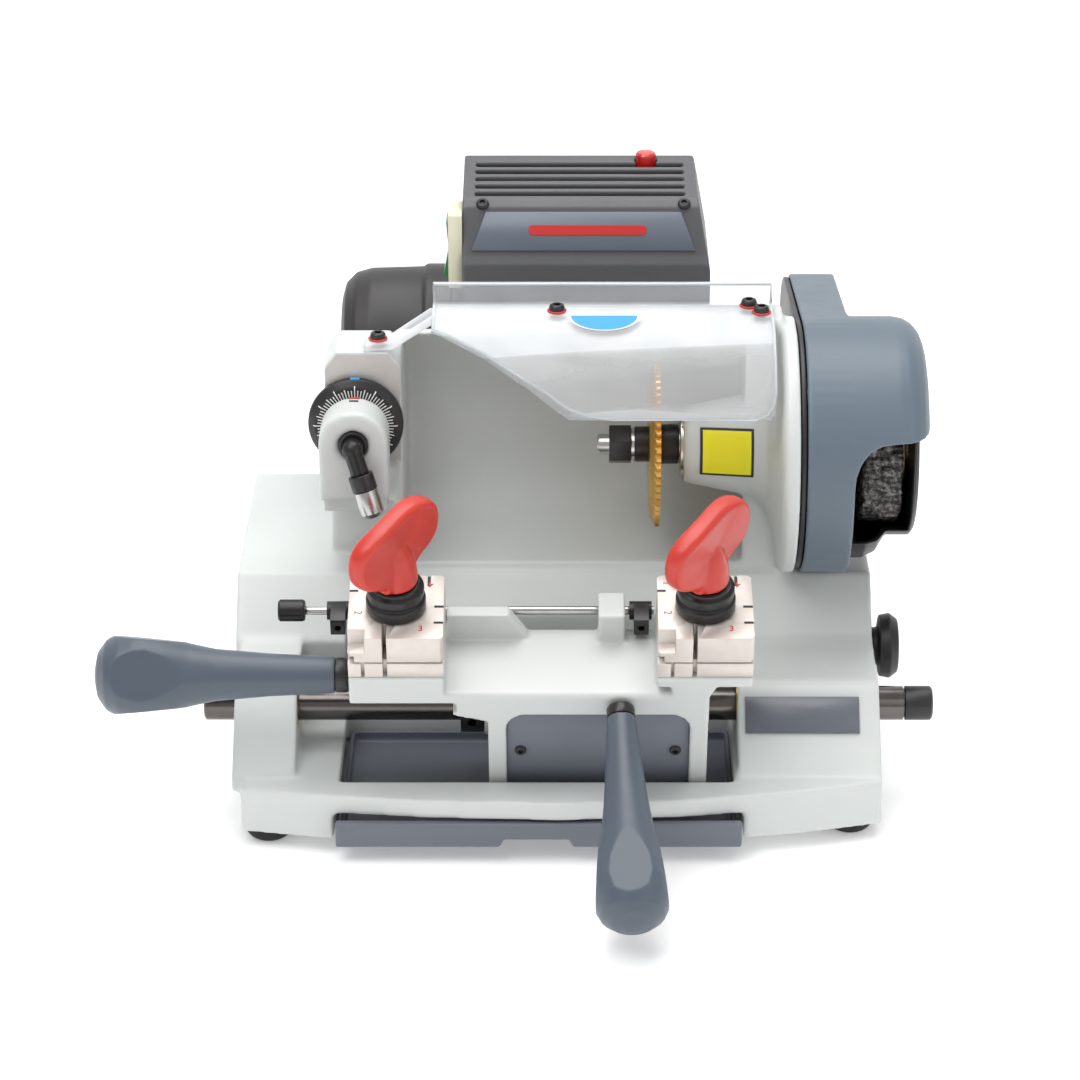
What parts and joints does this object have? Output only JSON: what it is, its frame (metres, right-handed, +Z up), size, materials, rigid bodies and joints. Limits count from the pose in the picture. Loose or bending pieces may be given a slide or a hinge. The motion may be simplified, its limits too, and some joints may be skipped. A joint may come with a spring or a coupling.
{
  "type": "key duplicating machine",
  "caption": "Bench key duplicating machine with a tilting, sliding two-clamp carriage, cutter spindle, tracer, clear shield, belt guard and chip tray.",
  "frame": {"origin": "centre of the bounding box at the plane of the feet", "axes": "+X right as seen by the operator and along the cutter spindle and carriage shaft, +Y to the rear, +Z up"},
  "size_m": [0.3938, 0.3756, 0.2641],
  "materials": {
    "cast_paint": "light grey hammered-smooth casting paint",
    "carriage_paint": "pale grey casting paint",
    "blue_grey_plastic": "blue-grey moulded plastic",
    "dark_plastic": "dark grey moulded plastic",
    "black_metal": "black oxide",
    "black_rubber": "moulded rubber",
    "steel": "ground steel",
    "nickel": "satin nickel",
    "brass": "titanium nitride gold, ground teeth",
    "red_plastic": "red moulded plastic",
    "green_plastic": "green moulded plastic",
    "cream_plastic": "cream moulded plastic",
    "clear_plastic": "clear moulded sheet",
    "brush_fibre": "crimped wire brush",
    "copper_iron": "laminated iron"
  },
  "bodies": {
    "machine": {"base_casting": "cast_paint", "bottom_plate": "steel", "rubber_feet": "black_rubber", "name_plate": "dark_plastic", "shaft_bushes": "brass", "spindle_bearings": "steel", "motor_housing": "black_metal", "motor_end_cap": "black_metal", "motor_mount": "black_metal", "motor_cover": "dark_plastic", "cover_label": "blue_grey_plastic", "housing_screws": "black_metal", "switch_bezel": "cream_plastic", "power_inlet": "dark_plastic", "belt_guard": "blue_grey_plastic", "belt_guard_back": "black_metal", "brush_housing": "black_metal", "drive_belt": "black_rubber", "tracer_sleeve": "steel", "safety_shield": "clear_plastic", "shield_screws": "black_metal"},
    "tray": {"chip_tray": "blue_grey_plastic"},
    "side_knob_body": {"side_knob": "dark_plastic"},
    "rocker": {"switch_rocker": "green_plastic"},
    "reset": {"reset_button": "red_plastic"},
    "spindle": {"spindle_shaft": "steel", "cutter": "brass", "cutter_spacers": "black_metal", "cutter_nut": "black_metal", "spindle_pulley": "steel", "brush_hub": "brass", "deburring_brush": "brush_fibre"},
    "rotor": {"motor_rotor": "copper_iron", "motor_pulley": "steel"},
    "dial": {"tracer_dial": "black_metal"},
    "tracer": {"tracer_stem": "black_metal", "tracer_collar": "black_metal", "tracer_tip": "steel"},
    "shaft": {"carriage_shaft": "black_metal", "shaft_end_cap": "black_metal"},
    "carriage": {"carriage_casting": "carriage_paint", "carriage_panel": "blue_grey_plastic", "panel_screws": "black_metal", "shaft_collar": "black_metal", "clamp_studs": "steel", "left_jaw_lower": "nickel", "right_jaw_lower": "nickel", "left_lever_rod": "black_metal", "left_lever_grip": "blue_grey_plastic", "front_lever_rod": "black_metal", "front_lever_grip": "blue_grey_plastic"},
    "gauge": {"gauge_rod": "steel", "gauge_knob": "black_metal", "gauge_fingers": "black_metal"},
    "left_jaw": {"left_jaw_upper": "nickel", "left_clamp_collar": "black_metal"},
    "right_jaw": {"right_jaw_upper": "nickel", "right_clamp_collar": "black_metal"},
    "left_knob": {"left_wing_knob": "red_plastic"},
    "right_knob": {"right_wing_knob": "red_plastic"}
  },
  "joints": [
    {"name": "tray_slide", "type": "slide", "parent": "machine", "child": "tray", "axis": [0, -1, 0], "range_m": [0, 0.04]},
    {"name": "side_knob_turn", "type": "hinge", "parent": "machine", "child": "side_knob_body", "pos_m": [0.1779, 0.0204, 0.058], "axis": [1, 0, 0], "range_deg": [-90, 90]},
    {"name": "switch_rock", "type": "hinge", "parent": "machine", "child": "rocker", "pos_m": [-0.0347, 0.1174, 0.231], "axis": [0, 1, 0], "range_deg": [-6, 4]},
    {"name": "reset_push", "type": "slide", "parent": "machine", "child": "reset", "axis": [0, 0, -1], "range_m": [0, 0.0025], "stiffness_N_per_m": 400},
    {"name": "spindle_spin", "type": "hinge", "parent": "machine", "child": "spindle", "pos_m": [0.0689, 0.0444, 0.155], "axis": [1, 0, 0], "continuous": true},
    {"name": "motor_spin", "type": "hinge", "parent": "machine", "child": "rotor", "pos_m": [0.0689, 0.1444, 0.165], "axis": [1, 0, 0], "continuous": true},
    {"name": "dial_turn", "type": "hinge", "parent": "machine", "child": "dial", "pos_m": [-0.0791, 0.0324, 0.171], "axis": [0, -1, 0], "range_deg": [-180, 180]},
    {"name": "tracer_advance", "type": "slide", "parent": "machine", "child": "tracer", "axis": [0, -1, 0], "range_m": [-0.00051, 0.00051]},
    {"name": "carriage_slide", "type": "slide", "parent": "machine", "child": "shaft", "axis": [1, 0, 0], "range_m": [-0.02, 0.006]},
    {"name": "carriage_tilt", "type": "hinge", "parent": "shaft", "child": "carriage", "pos_m": [0.0189, -0.0276, 0.051], "axis": [1, 0, 0], "range_deg": [-24, 0]},
    {"name": "gauge_turn", "type": "hinge", "parent": "carriage", "child": "gauge", "pos_m": [0.0189, -0.03672, 0.10456], "axis": [1, 0, 0], "range_deg": [-30, 0]},
    {"name": "left_jaw_lift", "type": "slide", "parent": "carriage", "child": "left_jaw", "axis": [0, -0.2756, 0.9613], "range_m": [0, 0.001]},
    {"name": "left_knob_turn", "type": "hinge", "parent": "left_jaw", "child": "left_knob", "pos_m": [-0.0565, -0.08048, 0.16067], "axis": [0, -0.2756, 0.9613], "range_deg": [0, 61]},
    {"name": "right_jaw_lift", "type": "slide", "parent": "carriage", "child": "right_jaw", "axis": [0, -0.2756, 0.9613], "range_m": [0, 0.001]},
    {"name": "right_knob_turn", "type": "hinge", "parent": "right_jaw", "child": "right_knob", "pos_m": [0.0858, -0.08048, 0.16067], "axis": [0, -0.2756, 0.9613], "range_deg": [0, 61]}
  ],
  "couplings": [
    {"joint": "motor_spin", "follows": "spindle_spin", "ratio": 1.5},
    {"joint": "tracer_advance", "follows": "dial_turn", "m_per_rad": 0.00015915},
    {"joint": "left_knob_turn", "follows": "left_jaw_lift", "rad_per_m": 1047.2},
    {"joint": "right_knob_turn", "follows": "right_jaw_lift", "rad_per_m": 1047.2}
  ]
}
